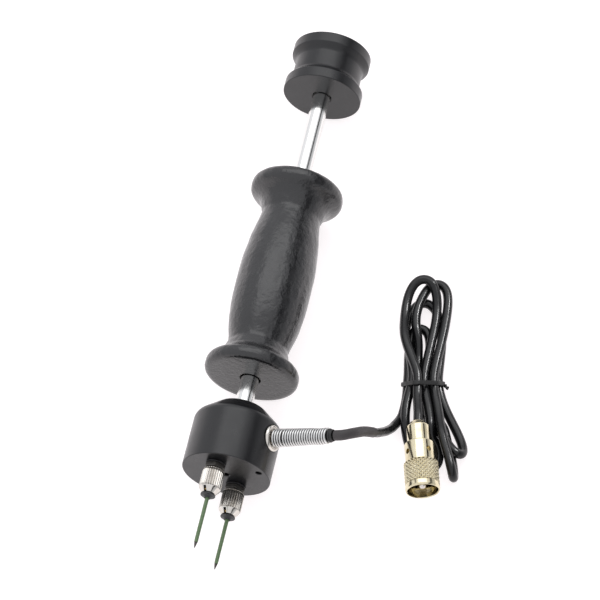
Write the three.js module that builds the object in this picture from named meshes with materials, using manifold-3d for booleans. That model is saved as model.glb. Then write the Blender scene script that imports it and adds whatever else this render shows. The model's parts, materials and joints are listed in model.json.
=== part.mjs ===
// Slide-hammer pin electrode of a resistance moisture meter, in millimetres, +Z up.
//
// The tool lies on its side: its axis is parallel to Y, the pins point towards -Y and the anvil
// towards +Y. The two flanges of the grip stand on the plane Z = 0, and the coaxial lead lies beside
// the tool, on the +X side, tied in a hank that ends in a screw-on plug.
//
// Inside the "tool" group, y is counted from the underside of the base, and the axis is x = z = 0.
// Inside the "head" group, which is rolled about that axis, +X is the side the lead leaves from and
// the two electrode holders sit at +Z and -Z.
// Inside the "plug" group, y is counted from the plug's mouth towards its tail.
// Inside the "hank" group, y runs from the tie towards the hank's upper loops.

import * as THREE from 'three';
import { mergeVertices } from 'three/addons/utils/BufferGeometryUtils.js';
import Module from 'manifold-3d';

const wasm = await Module();
wasm.setup();

// ---------------------------------------------------------------- driving dimensions

const GAP = 0.3; // clearance between pieces that touch
const ROUND = 36; // sides of a large turned piece
const SMALL = 20; // sides of a small one
const TINY = 12; // sides of a pin or of a wire's hole

const ROD_RADIUS = 9.525 / 2;
const ROD_FOOT = 16;
const ROD_TOP = 251;

const BASE_RADIUS = 23.1;
const BASE_SHOULDER = 28.5;
const BASE_HEIGHT = 37.8;
const BASE_TOP_RADIUS = 12.5;
const HEAD_ROLL = THREE.MathUtils.degToRad(24.5);
const RELIEF_TURN = THREE.MathUtils.degToRad(3.5); // from the head's +X to the side the lead leaves from

const GRIP_LOW = 56.5;
const GRIP_HIGH = 174.2;
const FLANGE_RADIUS = 25;
const FLANGE_THICKNESS = 11;
const FLANGE_RIM = 6.4;
const EDGE_ROUND = 1.7;
const GRIP_BODY_RADIUS = 20;
const GRIP_NECK_RADIUS = 15.2;
const SKIN = 2;

const ANVIL_LOW = 233.75;
const ANVIL_TOP = 262.75;
const ANVIL_RADIUS = 21.4;
const ANVIL_WAIST_RADIUS = 18.5;
const ANVIL_RIM = 5.8;
const ANVIL_TAPER = 3.2;

const LOCK_SCREW_HOLE = 1.9;
const GLAND_SCREW_HOLE = 1.65;
const GLAND_SCREW_OFFSET = 19.4;

const HOLDER_OFFSET = 11.9;
const STUD_RADIUS = 3;
const STUD_TOP = 12.5;
const STUD_FOOT = -6.8;
const NUT_TOP = -1.2;
const NUT_FOOT = -3.6;
const RETAINER_TOP = -3.9;
const RETAINER_FOOT = -17.6;
const RETAINER_RADIUS = 5.7;
const COLLET_TOP = STUD_FOOT - GAP;
const COLLET_FOOT = RETAINER_FOOT + 1.8;
const COLLAR_FOOT = -18.8;
const PIN_TIP = -48.3;
const PIN_RADIUS = 0.8;
const COATING_FOOT = -45;
const COATING_TOP = -18.1;

const GLAND_HEIGHT = 20.1;
const GLAND_START = 11.6;
const GLAND_SEAT = 22.1;
const GLAND_END = 28.4;
const GLAND_FLANGE_RADIUS = 6.9;
const SPRING_START = 24.4;
const SPRING_END = 56;
const SPRING_TURNS = 21.5;
const SPRING_WIRE = 1.1;
const BOOT_END = 59;
const CABLE_RADIUS = 2.5;

const WIRE_RADIUS = 0.65;
const WIRE_START = STUD_TOP + 1.9;
const WIRE_END = [10.9, GLAND_HEIGHT, 1.6];

const PLUG_LENGTH = 39.4;
const RING_RADIUS = 9.05;
const RING_LENGTH = 15.6;
const BARREL_RADIUS = 7.9;
const REDUCER_RADIUS = 6.1;
const SOLDER_HOLE_TURN = THREE.MathUtils.degToRad(57);

const SLEEVE_SHARE = 0.54; // of the lead's length down to the hank

const HANK_THICKNESS = 12.4;
const STRAND_LAYER = 2 * CABLE_RADIUS;
const TAIL_LAYER = 8.8; // height of the turns that the tail crosses
const PLUG_REST = -27; // the plug lies on the hank's lower loops, on this side of it

const LOWEST = PIN_TIP;
const UNDERSIDE_Y = -(ANVIL_TOP + LOWEST) / 2; // centres the tool's length on the origin
const AXIS_HEIGHT = FLANGE_RADIUS;
const PLUG_MOUTH = [99.65, 17.35 + UNDERSIDE_Y, 14.3];
const PLUG_TURN = THREE.MathUtils.degToRad(15.3);
const HANK_TIE = [86.55, 84.5 + UNDERSIDE_Y, 0];
const HANK_TURN = THREE.MathUtils.degToRad(11);

// The lead's route, from the strain relief down to the hank: x, y from the base's underside, height.
const LEAD_ROUTE = [
  [52.4, 20.1, 52.8],
  [56.2, 20.4, 54.2],
  [60.0, 22.5, 53.4],
  [62.9, 25.8, 49.6],
  [65.3, 29.6, 44.2],
  [67.5, 33.0, 38.2],
  [69.3, 36.3, 31.8],
  [71.0, 39.9, 25.2],
  [72.6, 43.8, 19.0],
  [74.3, 47.8, 13.2],
  [75.9, 51.9, 8.4],
  [76.9, 54.9, 5.9],
];

// The last stretch, from under the tie up to the plug's tail.
const TAIL_ROUTE = [
  [84.9, 77.5, 11.5],
  [85.9, 72.0, 11.9],
  [87.3, 66.2, 12.9],
  [88.5, 60.9, 14.0],
  [89.4, 55.8, 14.3],
];

// ---------------------------------------------------------------- materials

const steel = material(0xd9d9d6, 0.18, 1);
const blackAnodised = material(0x1b1b1d, 0.45, 0.3);
const blackPlastic = material(0x1a1a1b, 0.5, 0);
const blackVinyl = material(0x151516, 0.28, 0);
const blackOxide = material(0x2a2926, 0.4, 0.8);
const nickel = material(0xe9e2d8, 0.25, 1);
const goldPlate = material(0xd9c9a2, 0.22, 1);
const brass = material(0xb99a4f, 0.3, 1);
const zinc = material(0xc6c8c4, 0.35, 1);
const castSteel = material(0x6c6e70, 0.55, 0.9);
const acetal = material(0xe8e4d8, 0.45, 0);
const greenCoat = material(0x66805c, 0.5, 0);
const darkSteel = material(0x3c3b39, 0.35, 0.9);
const greyFibre = material(0x4a484b, 0.6, 0);
const rubber = material(0x111112, 0.7, 0);
const cableJacket = material(0x161616, 0.3, 0);
const redWire = material(0x8f1d18, 0.5, 0);

function material(color, roughness, metalness) {
  return new THREE.MeshStandardMaterial({ color, roughness, metalness });
}

// ---------------------------------------------------------------- geometry helpers

// A closed geometry of shared vertices only, without the slivers that lie on an axis.
function closed(geometry) {
  const bare = geometry.clone();
  bare.deleteAttribute('normal');
  bare.deleteAttribute('uv');
  const merged = mergeVertices(bare, 1e-4);
  const kept = [];
  const index = merged.index.array;
  for (let i = 0; i < index.length; i += 3) {
    const [a, b, c] = [index[i], index[i + 1], index[i + 2]];
    if (a !== b && b !== c && c !== a) {
      kept.push(a, b, c);
    }
  }
  merged.setIndex(kept);
  return merged;
}

function toSolid(geometry) {
  const shape = closed(geometry);
  return new wasm.Manifold(
    new wasm.Mesh({
      numProp: 3,
      vertProperties: Float32Array.from(shape.attributes.position.array),
      triVerts: Uint32Array.from(shape.index.array),
    }),
  );
}

function toGeometry(solid) {
  const mesh = solid.getMesh();
  const geometry = new THREE.BufferGeometry();
  geometry.setAttribute('position', new THREE.BufferAttribute(mesh.vertProperties, 3));
  geometry.setIndex(Array.from(mesh.triVerts));
  geometry.computeVertexNormals();
  return geometry;
}

function cut(geometry, tools) {
  return toGeometry(tools.reduce((solid, tool) => solid.subtract(toSolid(tool)), toSolid(geometry)));
}

function join(geometries) {
  return toGeometry(geometries.map(toSolid).reduce((whole, next) => whole.add(next)));
}

// A solid of revolution about Y. The profile is [radius, y] pairs, with the outside going up.
function turned(profile, sides = SMALL) {
  const points = profile.map(([radius, y]) => new THREE.Vector2(radius, y));
  return closed(new THREE.LatheGeometry(points, sides));
}

// A bored piece: its outside going up, then its bore going back down.
function sleeve(outside, bore, sides = SMALL) {
  return turned([...outside, ...bore, outside[0]], sides);
}

function tube(outer, inner, low, high, sides = SMALL) {
  return sleeve([[outer, low], [outer, high]], [[inner, high], [inner, low]], sides);
}

// Points of an arc of a profile, the angles in degrees counted from the outward direction.
function arc(radius, y, size, from, to, steps = 4) {
  return Array.from({ length: steps + 1 }, (_, i) => {
    const angle = THREE.MathUtils.degToRad(from + ((to - from) * i) / steps);
    return [radius + size * Math.cos(angle), y + size * Math.sin(angle)];
  });
}

function cylinderBetween(start, end, radius, sides = SMALL) {
  const from = new THREE.Vector3(...start);
  const to = new THREE.Vector3(...end);
  const along = to.clone().sub(from);
  const geometry = new THREE.CylinderGeometry(radius, radius, along.length(), sides);
  const turn = new THREE.Quaternion().setFromUnitVectors(new THREE.Vector3(0, 1, 0), along.normalize());
  geometry.applyQuaternion(turn);
  geometry.translate(...from.add(to).multiplyScalar(0.5));
  return geometry;
}

function block(low, high) {
  const size = high.map((value, i) => value - low[i]);
  const geometry = new THREE.BoxGeometry(...size);
  geometry.translate(...low.map((value, i) => value + size[i] / 2));
  return geometry;
}

// A round section swept along a curve, with flat ends.
function swept(curve, radius, steps, sides = 8) {
  const section = new THREE.Shape(
    Array.from({ length: sides }, (_, i) => {
      const angle = (2 * Math.PI * (i + 0.5)) / sides;
      return new THREE.Vector2(radius * Math.cos(angle), radius * Math.sin(angle));
    }),
  );
  return closed(new THREE.ExtrudeGeometry(section, { steps, extrudePath: curve, bevelEnabled: false }));
}

function through(points) {
  return new THREE.CatmullRomCurve3(points.map((point) => new THREE.Vector3(...point)));
}

function part(name, geometry, finish) {
  const mesh = new THREE.Mesh(geometry, finish);
  mesh.name = name;
  return mesh;
}

function group(position, children) {
  const node = new THREE.Group();
  node.position.set(...position);
  node.add(...children);
  return node;
}

// ---------------------------------------------------------------- base

function baseBody() {
  const edge = 0.5;
  const fillet = 3;
  const slope = Math.atan2(BASE_HEIGHT - BASE_SHOULDER, BASE_RADIUS - BASE_TOP_RADIUS);
  const shoulderTurn = THREE.MathUtils.radToDeg(Math.PI / 2 - slope);
  const profile = [
    [0, 0],
    [BASE_RADIUS - edge, 0],
    [BASE_RADIUS, edge],
    ...arc(BASE_RADIUS - fillet, BASE_SHOULDER - 1, fillet, 0, shoulderTurn),
    [BASE_TOP_RADIUS + edge, BASE_HEIGHT - edge],
    [BASE_TOP_RADIUS - edge, BASE_HEIGHT],
    [0, BASE_HEIGHT],
  ];
  const [wireX, wireY, wireZ] = WIRE_END;
  const leadWay = (distance, y) => [distance * Math.cos(RELIEF_TURN), y, distance * Math.sin(RELIEF_TURN)];
  const glandBore = (start, radius) =>
    cylinderBetween(leadWay(start, GLAND_HEIGHT), leadWay(30, GLAND_HEIGHT), radius);
  const tools = [
    cylinderBetween([0, ROD_FOOT - GAP, 0], [0, BASE_HEIGHT + 1, 0], ROD_RADIUS + GAP),
    cylinderBetween([0, -1, 0], [0, ROD_FOOT, 0], LOCK_SCREW_HOLE),
    cylinderBetween(leadWay(GLAND_SCREW_OFFSET, -1), leadWay(GLAND_SCREW_OFFSET, GLAND_HEIGHT - 3), GLAND_SCREW_HOLE),
    glandBore(GLAND_START - 2, 5.3),
    glandBore(GLAND_SEAT - GAP, GLAND_FLANGE_RADIUS + GAP),
  ];
  for (const side of [1, -1]) {
    const z = side * HOLDER_OFFSET;
    tools.push(cylinderBetween([0, -1, z], [0, STUD_TOP + 3.6, z], STUD_RADIUS + GAP));
    tools.push(cylinderBetween([0, WIRE_START, z], [wireX, wireY, side * wireZ], 2 * WIRE_RADIUS, TINY));
  }
  return cut(turned(profile, ROUND), tools);
}

// A headless screw with a hexagonal socket in its outer end.
function lockScrew(radius, low, high, socketAtLow) {
  const depth = 2.5;
  const rim = 0.25;
  const screw = turned([
    [0, low],
    [radius - rim, low],
    [radius, low + rim],
    [radius, high - rim],
    [radius - rim, high],
    [0, high],
  ]);
  const mouth = socketAtLow ? low - 1 : high + 1;
  const floor = socketAtLow ? low + depth : high - depth;
  return cut(screw, [cylinderBetween([0, mouth, 0], [0, floor, 0], radius * 0.55, 6)]);
}

// ---------------------------------------------------------------- electrode holders

function stud() {
  const body = turned([
    [0, STUD_FOOT],
    [STUD_RADIUS - 0.4, STUD_FOOT],
    [STUD_RADIUS, STUD_FOOT + 0.4],
    [STUD_RADIUS, STUD_TOP],
    [0, STUD_TOP],
  ]);
  return cut(body, [cylinderBetween([0, STUD_FOOT - 1, 0], [0, -1.5, 0], PIN_RADIUS + 0.45, TINY)]);
}

function hexNut() {
  const cornerRadius = 5.75;
  const body = new THREE.CylinderGeometry(cornerRadius, cornerRadius, NUT_TOP - NUT_FOOT, 6);
  body.translate(0, (NUT_TOP + NUT_FOOT) / 2, 0);
  return cut(body, [cylinderBetween([0, NUT_FOOT - 1, 0], [0, NUT_TOP + 1, 0], STUD_RADIUS + GAP)]);
}

// A knurled cap that screws onto the stud and squeezes the collet. Its nose has a slot across it.
function retainer() {
  const noseTop = RETAINER_FOOT + 3;
  const noseRadius = 3.6;
  const knurl = 0.12;
  const outside = [
    [noseRadius, RETAINER_FOOT],
    [RETAINER_RADIUS - knurl, noseTop],
    [RETAINER_RADIUS, noseTop + 0.5],
    [RETAINER_RADIUS, RETAINER_TOP - 0.9],
    [RETAINER_RADIUS - 0.7, RETAINER_TOP],
  ];
  const bore = [
    [STUD_RADIUS + GAP, RETAINER_TOP],
    [STUD_RADIUS + GAP, RETAINER_FOOT + 5.9],
    [2.7, RETAINER_FOOT + 5.9],
    [2.7, RETAINER_FOOT + 3.2],
    [1.5, RETAINER_FOOT + 1.2],
    [1.5, RETAINER_FOOT],
  ];
  const sides = 32;
  const geometry = sleeve(outside, bore, sides);
  const position = geometry.attributes.position;
  for (let i = 0; i < position.count; i += 1) {
    const [x, z] = [position.getX(i), position.getZ(i)];
    const column = Math.round((Math.atan2(z, x) / (2 * Math.PI)) * sides);
    if (Math.hypot(x, z) > RETAINER_RADIUS - 0.01 && column % 2 !== 0) {
      position.setX(i, x * (1 - knurl / 2));
      position.setZ(i, z * (1 - knurl / 2));
    }
  }
  return cut(geometry, [block([-0.8, RETAINER_FOOT - 1, -8], [0.8, RETAINER_FOOT + 2.6, 8])]);
}

// The split sleeve inside the retainer that grips the pin.
function collet() {
  const body = sleeve(
    [[1.45, COLLET_FOOT], [2.35, COLLET_FOOT + 1.7], [2.35, COLLET_TOP - 0.4], [1.9, COLLET_TOP]],
    [[PIN_RADIUS + 0.2, COLLET_TOP], [PIN_RADIUS + 0.2, COLLET_FOOT]],
  );
  return cut(body, [block([-4, COLLET_FOOT - 0.4, -0.25], [4, COLLET_FOOT + 6, 0.25])]);
}

function pin() {
  return turned([
    [0, PIN_TIP],
    [0.25, PIN_TIP + 0.5],
    [PIN_RADIUS, COATING_FOOT - 0.4],
    [PIN_RADIUS, -3],
    [0, -3],
  ], TINY);
}

function pinCoating() {
  return sleeve(
    [[PIN_RADIUS + 0.12, COATING_FOOT], [1.02, COATING_FOOT + 1.5], [1.05, COATING_TOP]],
    [[PIN_RADIUS + 0.08, COATING_TOP], [PIN_RADIUS + 0.08, COATING_FOOT]],
    TINY,
  );
}

// The disc at the retainer's nose, with a short collar round the pin.
function pinCollar() {
  return sleeve(
    [[1.6, COLLAR_FOOT - 1.1], [1.7, COLLAR_FOOT - 0.1], [3.6, COLLAR_FOOT], [3.85, COLLAR_FOOT + 0.25],
      [3.85, RETAINER_FOOT - GAP]],
    [[1.25, RETAINER_FOOT - GAP], [1.25, COLLAR_FOOT - 1.1]],
  );
}

function terminal() {
  return tube(2.7, 0.9, STUD_TOP + GAP, STUD_TOP + 0.9);
}

// The wire from a terminal past the rod's socket to the inner end of the gland.
function innerWire(side) {
  const [x, y, z] = WIRE_END;
  return cylinderBetween([0, WIRE_START, 0], [x, y, side * (z - HOLDER_OFFSET)], WIRE_RADIUS, TINY);
}

function holder(name, side) {
  const at = [0, 0, side * HOLDER_OFFSET];
  return group(at, [
    part(`${name}_stud`, stud(), brass),
    part(`${name}_insulating_washer`, tube(5.2, STUD_RADIUS + GAP, NUT_TOP + GAP, -GAP), blackPlastic),
    part(`${name}_nut`, hexNut(), blackOxide),
    part(`${name}_retainer`, retainer(), nickel),
    part(`${name}_collet`, collet(), brass),
    part(`${name}_pin`, pin(), darkSteel),
    part(`${name}_pin_coating`, pinCoating(), greenCoat),
    part(`${name}_pin_collar`, pinCollar(), greyFibre),
    part(`${name}_terminal`, terminal(), zinc),
    part(`${name}_wire`, innerWire(side), side > 0 ? redWire : cableJacket),
  ]);
}

// ---------------------------------------------------------------- strain relief

// In these pieces y is the distance from the tool's axis along the direction the lead leaves in.
function gland() {
  return sleeve(
    [[5, GLAND_START], [5, GLAND_SEAT - 0.05], [GLAND_FLANGE_RADIUS, GLAND_SEAT],
      ...arc(GLAND_FLANGE_RADIUS - 0.6, GLAND_SEAT + 1.2, 0.6, 0, 90, 3), [3, GLAND_SEAT + 1.8], [3, GLAND_END]],
    [[2.6, GLAND_END], [2.6, GLAND_START]],
  );
}

function strainSpring() {
  const points = [];
  const perTurn = 6;
  const count = Math.round(SPRING_TURNS * perTurn);
  for (let i = 0; i <= count; i += 1) {
    const t = i / count;
    const angle = (2 * Math.PI * i) / perTurn;
    const radius = THREE.MathUtils.lerp(4.3, 3.75, t);
    const y = THREE.MathUtils.lerp(SPRING_START + SPRING_WIRE, SPRING_END - SPRING_WIRE, t);
    points.push([radius * Math.cos(angle), y, radius * Math.sin(angle)]);
  }
  return swept(through(points), SPRING_WIRE / 2, count, 6);
}

function cableBoot() {
  return sleeve(
    [[3.4, SPRING_END], [3.6, SPRING_END + 0.6], [3.4, SPRING_END + 1.5], [3.0, BOOT_END - 0.2]],
    [[CABLE_RADIUS + 0.1, BOOT_END - 0.2], [CABLE_RADIUS + 0.1, SPRING_END]],
  );
}

function strainRelief() {
  const node = group([0, GLAND_HEIGHT, 0], [
    part('cable_gland', gland(), nickel),
    part('strain_spring', strainSpring(), zinc),
    part('cable_boot', cableBoot(), rubber),
    part('inner_cable', turned([[0, 12.3], [2.3, 12.3], [2.3, BOOT_END], [0, BOOT_END]], TINY), cableJacket),
  ]);
  node.rotation.z = -Math.PI / 2;
  return node;
}

function head() {
  const leadSide = group([0, 0, 0], [
    group([GLAND_SCREW_OFFSET, 0, 0], [
      part('gland_lock_screw', lockScrew(GLAND_SCREW_HOLE - GAP, 7.5, 14.6, true), darkSteel),
    ]),
    strainRelief(),
  ]);
  leadSide.rotation.y = -RELIEF_TURN;
  const node = group([0, 0, 0], [
    part('base_body', baseBody(), blackAnodised),
    part('rod_lock_screw', lockScrew(LOCK_SCREW_HOLE - GAP, 8.5, ROD_FOOT - GAP, true), darkSteel),
    holder('left', 1),
    holder('right', -1),
    leadSide,
  ]);
  node.rotation.y = -HEAD_ROLL;
  return node;
}

// ---------------------------------------------------------------- rod, hammer and anvil

function rod() {
  const chamfer = 0.6;
  return turned([
    [0, ROD_FOOT],
    [ROD_RADIUS - chamfer, ROD_FOOT],
    [ROD_RADIUS, ROD_FOOT + chamfer],
    [ROD_RADIUS, ROD_TOP - chamfer],
    [ROD_RADIUS - chamfer, ROD_TOP],
    [0, ROD_TOP],
  ]);
}

function anvil() {
  const edge = 0.7;
  const low = ANVIL_LOW;
  const high = ANVIL_TOP;
  const side = [
    [ANVIL_RADIUS - edge, low],
    [ANVIL_RADIUS, low + edge],
    [ANVIL_RADIUS, low + ANVIL_RIM],
    [ANVIL_WAIST_RADIUS + 0.6, low + ANVIL_RIM + ANVIL_TAPER - 0.8],
    [ANVIL_WAIST_RADIUS, low + ANVIL_RIM + ANVIL_TAPER],
    [ANVIL_WAIST_RADIUS, high - ANVIL_RIM - ANVIL_TAPER],
    [ANVIL_WAIST_RADIUS + 0.6, high - ANVIL_RIM - ANVIL_TAPER + 0.8],
    [ANVIL_RADIUS, high - ANVIL_RIM],
    [ANVIL_RADIUS, high - edge],
    [ANVIL_RADIUS - edge, high],
  ];
  return cut(turned([[0, low], ...side, [0, high]], ROUND), [
    cylinderBetween([0, low - 1, 0], [0, ROD_TOP + GAP, 0], ROD_RADIUS + GAP),
    cylinderBetween([0, ROD_TOP, 0], [0, high + 1, 0], LOCK_SCREW_HOLE),
  ]);
}

// Half of the spool's outline, from its lower face to its middle, shrunk by an inset.
function spoolHalf(inset, steps) {
  const half = (GRIP_HIGH - GRIP_LOW) / 2;
  const outer = FLANGE_RADIUS - inset;
  const edge = EDGE_ROUND - inset / 2;
  const bodyStart = FLANGE_THICKNESS + 5.5;
  const points = [
    [outer - edge, inset],
    [outer - edge * 0.3, inset + edge * 0.3],
    [outer, inset + edge],
    [outer, FLANGE_RIM - edge - inset * 0.5],
    [outer - edge * 0.5, FLANGE_RIM - inset * 0.6],
    [GRIP_NECK_RADIUS + 3.4 - inset * 0.6, FLANGE_THICKNESS - inset * 0.6],
    [GRIP_NECK_RADIUS + 0.9 - inset, FLANGE_THICKNESS + 3 - inset * 0.5],
  ];
  for (let i = 0; i <= steps; i += 1) {
    const t = i / steps;
    const bulge = Math.sin((Math.PI / 2) * t);
    points.push([
      THREE.MathUtils.lerp(GRIP_NECK_RADIUS, GRIP_BODY_RADIUS, bulge) - inset,
      THREE.MathUtils.lerp(bodyStart, half, t),
    ]);
  }
  return points;
}

// The whole spool's outside, going up from one end face to the other.
function spoolOutline(inset, steps) {
  const length = GRIP_HIGH - GRIP_LOW;
  const lower = spoolHalf(inset, steps).map(([radius, y]) => [radius, GRIP_LOW + y]);
  const upper = lower
    .slice(0, -1)
    .reverse()
    .map(([radius, y]) => [radius, 2 * GRIP_LOW + length - y]);
  return [...lower, ...upper];
}

function gripCover() {
  const mouth = 5.65;
  const inner = spoolOutline(SKIN, 2).reverse();
  const first = inner[0];
  const last = inner[inner.length - 1];
  return sleeve(
    spoolOutline(0, 4),
    [[mouth, GRIP_HIGH], [mouth, first[1]], ...inner, [mouth, last[1]], [mouth, GRIP_LOW]],
    ROUND,
  );
}

function hammerCore() {
  const seat = 7.8;
  const waist = 6.4;
  const outline = spoolOutline(SKIN + 0.4, 2);
  const low = outline[0][1];
  const high = outline[outline.length - 1][1];
  const depth = 18;
  return sleeve(
    outline,
    [[seat, high], [seat, high - depth], [waist, high - depth], [waist, low + depth], [seat, low + depth], [seat, low]],
  );
}

function bush(low, high) {
  return tube(7.5, ROD_RADIUS + GAP, low, high);
}

function hammer() {
  const inset = SKIN + GAP + 0.2;
  const length = 17;
  return group([0, 0, 0], [
    part('hammer_core', hammerCore(), castSteel),
    part('grip_cover', gripCover(), blackVinyl),
    part('lower_bush', bush(GRIP_LOW + inset, GRIP_LOW + inset + length), acetal),
    part('upper_bush', bush(GRIP_HIGH - inset - length, GRIP_HIGH - inset), acetal),
  ]);
}

function tool() {
  return group([0, UNDERSIDE_Y, AXIS_HEIGHT], [
    head(),
    part('rod', rod(), steel),
    hammer(),
    part('anvil', anvil(), blackAnodised),
    part('anvil_lock_screw', lockScrew(LOCK_SCREW_HOLE - GAP, ROD_TOP + GAP, 258.5, false), darkSteel),
  ]);
}

// ---------------------------------------------------------------- plug

function couplingRing() {
  const chamfer = 1.1;
  const thread = 7.9;
  const lip = BARREL_RADIUS + GAP;
  const lipStart = 11.2;
  return sleeve(
    [[RING_RADIUS - chamfer + 0.5, 0], [RING_RADIUS, chamfer], [RING_RADIUS, RING_LENGTH - 0.4],
      [RING_RADIUS - 0.3, RING_LENGTH]],
    [[lip, RING_LENGTH], [lip, lipStart], [thread, lipStart], [thread, 0]],
    ROUND,
  );
}

function plugBody() {
  const front = 6.2;
  const nose = 5.9;
  const shoulder = 7.6;
  const shell = sleeve(
    [[nose, front], [nose, 10], [shoulder, 10], [shoulder, 11.4], [BARREL_RADIUS, 11.6], [BARREL_RADIUS, 26.6],
      [BARREL_RADIUS - 0.4, 27]],
    [[5.4, 27], [5.4, 14.6], [4.6, 14.6], [4.6, front]],
    ROUND,
  );
  const holes = [0, 1].map((i) => {
    const angle = SOLDER_HOLE_TURN + (i * Math.PI) / 2;
    const [x, z] = [10 * Math.cos(angle), 10 * Math.sin(angle)];
    return cylinderBetween([-x, 21.2, -z], [x, 21.2, z], 1.4, TINY);
  });
  return cut(shell, holes);
}

function plugReducer() {
  return sleeve(
    [[5.1, 16.1], [5.1, 27.3], [REDUCER_RADIUS, 27.3], [REDUCER_RADIUS, 36.6], [4.3, 38.6], [3.9, PLUG_LENGTH]],
    [[2.7, PLUG_LENGTH], [2.7, 16.1]],
  );
}

function plugInsulator() {
  return tube(4.3, 2.3, 7.2, 14.4);
}

function plugContact() {
  return turned([[0, 2], [1.2, 2], [2, 2.8], [2, 15.6], [0, 15.6]]);
}

function plug() {
  const node = group(PLUG_MOUTH, [
    part('coupling_ring', couplingRing(), goldPlate),
    part('plug_body', plugBody(), goldPlate),
    part('plug_reducer', plugReducer(), goldPlate),
    part('plug_insulator', plugInsulator(), acetal),
    part('plug_contact', plugContact(), nickel),
  ]);
  node.rotation.z = PLUG_TURN;
  return node;
}

// ---------------------------------------------------------------- lead and hank

function along(route) {
  return through(route.map(([x, y, z]) => [x, y + UNDERSIDE_Y, z]));
}

// A length of cable that follows a curve from one share of its length to another.
function cableStretch(curve, from, to, steps) {
  const points = [];
  for (let i = 0; i <= steps; i += 1) {
    const point = curve.getPointAt(THREE.MathUtils.lerp(from, to, i / steps));
    points.push([point.x, point.y, point.z]);
  }
  return swept(through(points), CABLE_RADIUS, steps);
}

// The lead from the strain relief down to the hank. A heat-shrunk sleeve covers its first stretch.
function lead() {
  const curve = along(LEAD_ROUTE);
  const half = GAP / 2 / curve.getLength();
  return [
    part('lead_sleeve', cableStretch(curve, 0, SLEEVE_SHARE - half, 13), rubber),
    part('cable_lead', cableStretch(curve, SLEEVE_SHARE + half, 1, 11), cableJacket),
  ];
}

// The outer shape of the tied turns: a waist at the tie, loops above it and a fan of loops below,
// which is one strand thick where the plug and its lead lie on it.
function hankSolid() {
  const outline = new THREE.SplineCurve([
    new THREE.Vector2(9.8, 0),
    new THREE.Vector2(12.4, 15),
    new THREE.Vector2(14.8, 32),
    new THREE.Vector2(15, 48),
    new THREE.Vector2(10, 60.5),
    new THREE.Vector2(0.5, 63.4),
    new THREE.Vector2(-8, 57),
    new THREE.Vector2(-12.3, 36),
    new THREE.Vector2(-11.4, 17),
    new THREE.Vector2(-9.8, 0),
    new THREE.Vector2(-11.8, -20),
    new THREE.Vector2(-10.6, -35),
    new THREE.Vector2(-5, -47),
    new THREE.Vector2(5, -53.5),
    new THREE.Vector2(14.5, -61.5),
    new THREE.Vector2(19.5, -55),
    new THREE.Vector2(22.2, -40),
    new THREE.Vector2(16.5, -20),
    new THREE.Vector2(9.8, 0),
  ]);
  const slab = new THREE.ExtrudeGeometry(new THREE.Shape(outline.getPoints(46).slice(0, -1)), {
    depth: HANK_THICKNESS,
    bevelEnabled: false,
  });
  return cut(slab, [
    block([-30, -80, STRAND_LAYER], [9.4, PLUG_REST, HANK_THICKNESS + 1]),
    block([-6.2, PLUG_REST - 1, TAIL_LAYER], [0.4, -5, HANK_THICKNESS + 1]),
    block([-15, -2.2, -1], [15, 2.2, 1.3]),
  ]);
}

function hankTie() {
  const half = 11.7;
  const wire = 1;
  const frame = block([-half, -1.4, 0.1], [half, 1.4, HANK_THICKNESS + 1.5]);
  const ring = cut(frame, [block([wire - half, -3, 1], [half - wire, 3, HANK_THICKNESS + 0.5])]);
  return join([ring, block([half - 0.2, -1.2, 5], [half + 2.4, 1.2, 7.4])]);
}

function hank() {
  const node = group(HANK_TIE, [
    part('cable_hank', hankSolid(), cableJacket),
    part('hank_tie', hankTie(), rubber),
  ]);
  node.rotation.z = HANK_TURN;
  return node;
}

// ---------------------------------------------------------------- the whole object

const electrode = group([0, 0, 0], [
  tool(),
  plug(),
  hank(),
  ...lead(),
  part('cable_tail', cableStretch(along(TAIL_ROUTE), 0, 1, 8), cableJacket),
]);

export default electrode;
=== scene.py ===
"""Slide-hammer pin electrode of a resistance moisture meter, dressed round its CAD frame.

Lengths inside the shape functions are millimetres in the frame of the piece's own assembly, and the
assembly's matrix takes them to metres in the frame. Y is the axis of every turned piece.
"""
import json
import math

import bmesh
import bpy
import numpy as np
from mathutils import Matrix, Vector, noise


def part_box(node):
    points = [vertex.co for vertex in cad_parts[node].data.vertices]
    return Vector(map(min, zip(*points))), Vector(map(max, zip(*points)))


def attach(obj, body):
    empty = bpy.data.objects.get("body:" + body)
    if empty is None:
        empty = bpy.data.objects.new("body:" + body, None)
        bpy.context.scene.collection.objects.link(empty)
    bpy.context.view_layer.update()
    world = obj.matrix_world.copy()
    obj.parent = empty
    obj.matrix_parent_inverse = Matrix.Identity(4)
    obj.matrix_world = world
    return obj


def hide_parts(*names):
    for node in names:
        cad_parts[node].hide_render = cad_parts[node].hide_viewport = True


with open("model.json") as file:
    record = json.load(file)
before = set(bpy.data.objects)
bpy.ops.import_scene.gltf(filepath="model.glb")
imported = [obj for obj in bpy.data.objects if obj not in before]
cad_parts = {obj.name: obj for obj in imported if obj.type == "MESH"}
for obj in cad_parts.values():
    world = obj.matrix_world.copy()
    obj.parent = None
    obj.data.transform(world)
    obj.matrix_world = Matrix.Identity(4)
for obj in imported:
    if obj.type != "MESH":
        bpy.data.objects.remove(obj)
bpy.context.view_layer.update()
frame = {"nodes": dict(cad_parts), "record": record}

# ---------------------------------------------------------------- assemblies

MM = 0.001
PER_METRE = 1000
HEAD_ROLL = math.radians(-24.5)
RELIEF_TURN = math.radians(-3.5)
HOLDER_OFFSET = 11.9
GLAND_HEIGHT = 20.1
PLUG_TURN = math.radians(15.3)
HANK_TURN = math.radians(11)
CABLE_RADIUS = 2.5


def millimetres(x, y, z):
    return Matrix.Translation((x, y, z)) @ Matrix.Scale(MM, 4)


def rotation(angle, axis):
    return Matrix.Rotation(angle, 4, axis)


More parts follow.
